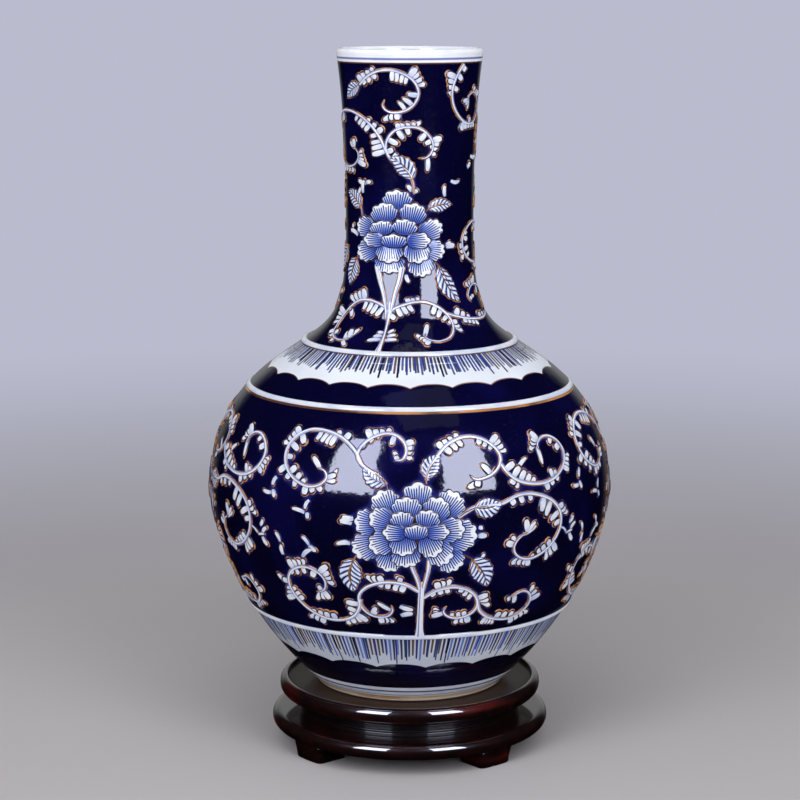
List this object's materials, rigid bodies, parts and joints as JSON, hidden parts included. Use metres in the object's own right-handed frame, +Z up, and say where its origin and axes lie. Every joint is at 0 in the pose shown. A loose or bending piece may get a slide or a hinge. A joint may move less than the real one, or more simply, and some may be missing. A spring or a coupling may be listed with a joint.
{
  "type": "display vase on stand",
  "caption": "Tall globular porcelain vase with a long flared neck and raised cobalt-blue scrollwork, standing on a round dark lacquered wooden stand with short feet.",
  "frame": {"origin": "on the table, under the shared axis of the vase and the stand", "axes": "+Z up along that axis, the main flower of the front faces -Y"},
  "size_m": [0.352, 0.352, 0.6165],
  "materials": {
    "porcelain": "clear glossy glaze over cobalt",
    "lacquered_wood": "dark red-brown gloss lacquer",
    "screw_steel": "plain"
  },
  "bodies": {
    "stand": {"base_ring": "lacquered_wood", "waist_ring": "lacquered_wood", "top_ring": "lacquered_wood", "seat_panel": "lacquered_wood", "foot_1": "lacquered_wood", "foot_2": "lacquered_wood", "foot_3": "lacquered_wood", "foot_4": "lacquered_wood", "frame_screw_1": "screw_steel", "frame_screw_2": "screw_steel", "frame_screw_3": "screw_steel", "frame_screw_4": "screw_steel", "foot_screw_1": "screw_steel", "foot_screw_2": "screw_steel", "foot_screw_3": "screw_steel", "foot_screw_4": "screw_steel", "foot_screw_5": "screw_steel", "foot_screw_6": "screw_steel", "foot_screw_7": "screw_steel", "foot_screw_8": "screw_steel"},
    "vase": {"lower_belly_section": "porcelain", "upper_belly_section": "porcelain", "lower_neck_section": "porcelain", "upper_neck_section": "porcelain"}
  },
  "joints": [
    {"name": "vase_lift", "type": "slide", "parent": "stand", "child": "vase", "axis": [0, 0, 1], "range_m": [0, 0.1]}
  ]
}
